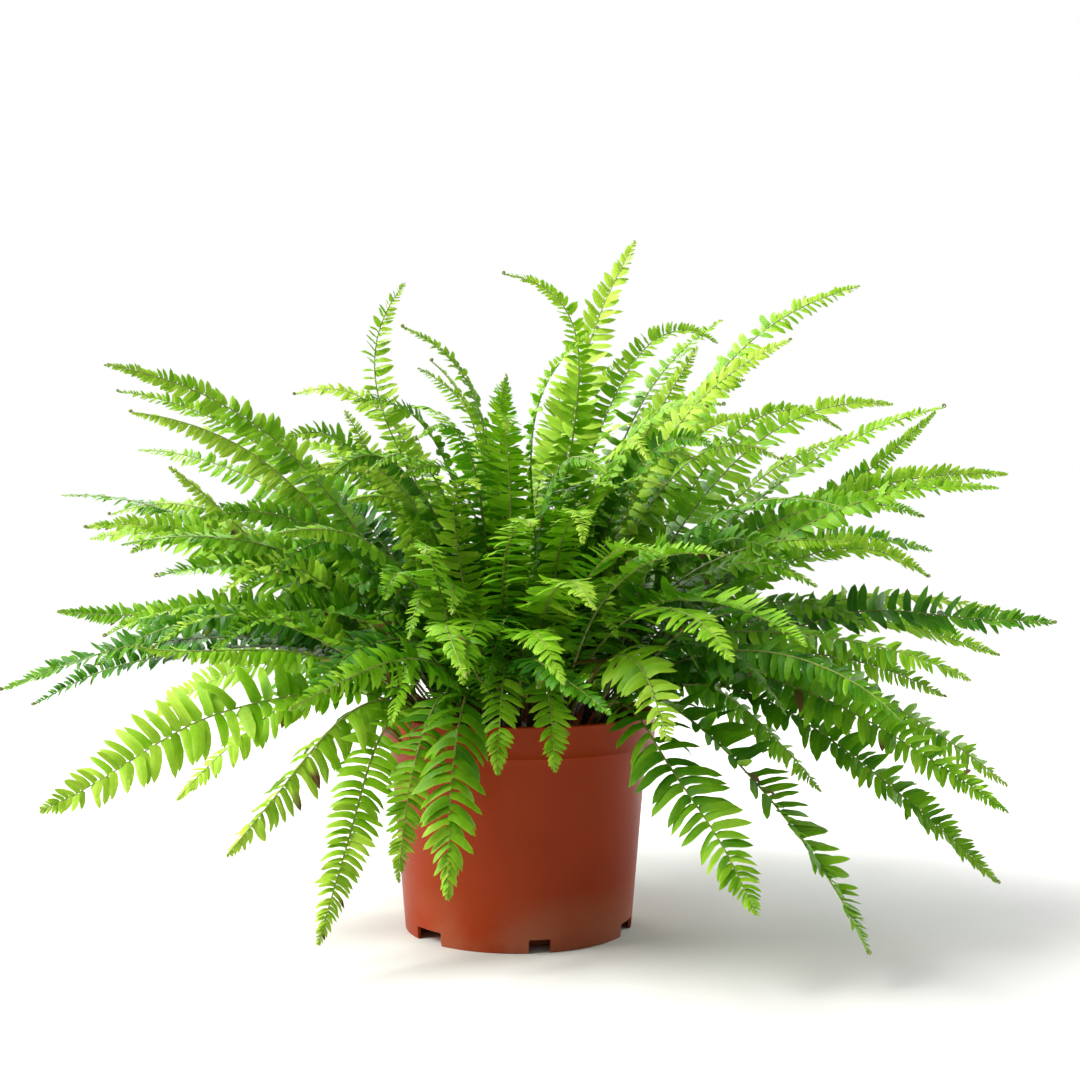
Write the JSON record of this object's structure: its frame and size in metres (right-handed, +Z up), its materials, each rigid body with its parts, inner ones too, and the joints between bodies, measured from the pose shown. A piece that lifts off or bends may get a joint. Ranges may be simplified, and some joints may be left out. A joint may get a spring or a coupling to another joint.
{
  "type": "potted fern",
  "caption": "Bushy sword fern with long arching leaflet fronds that spill over a plain tapered nursery pot with a wide rim band and a notched foot ring.",
  "frame": {"origin": "on the pot's axis, at the underside of the disc in its floor, on the surface that the pot stands on", "axes": "+Z up along the pot's axis; +X along the plant's widest spread, to the right in the picture, which looks along +Y"},
  "size_m": [0.881, 0.7233, 0.6],
  "materials": {
    "pot_plastic": "satin",
    "potting_soil": "matte",
    "frond": "satin"
  },
  "bodies": {
    "root": {"fronds_01": "frond", "fronds_02": "frond", "fronds_03": "frond", "fronds_04": "frond", "fronds_05": "frond", "fronds_06": "frond", "fronds_07": "frond", "fronds_08": "frond", "fronds_09": "frond", "fronds_10": "frond", "fronds_11": "frond", "fronds_12": "frond", "fronds_13": "frond", "fronds_14": "frond", "fronds_15": "frond", "fronds_16": "frond", "fronds_17": "frond", "fronds_18": "frond", "fronds_19": "frond", "fronds_20": "frond", "fronds_21": "frond", "fronds_22": "frond", "fronds_23": "frond", "fronds_24": "frond", "fronds_25": "frond", "fronds_26": "frond", "fronds_27": "frond", "fronds_28": "frond", "fronds_29": "frond", "fronds_30": "frond", "fronds_31": "frond", "fronds_32": "frond", "fronds_33": "frond", "fronds_34": "frond", "fronds_35": "frond", "fronds_36": "frond", "fronds_37": "frond", "fronds_38": "frond", "fronds_39": "frond", "fronds_40": "frond", "fronds_41": "frond", "fronds_42": "frond", "fronds_43": "frond", "fronds_44": "frond", "fronds_45": "frond", "fronds_46": "frond", "fronds_47": "frond", "fronds_48": "frond", "fronds_49": "frond", "fronds_50": "frond", "fronds_51": "frond", "fronds_52": "frond", "fronds_53": "frond", "fronds_54": "frond", "fronds_55": "frond", "pot": "pot_plastic", "soil": "potting_soil"}
  },
  "joints": []
}
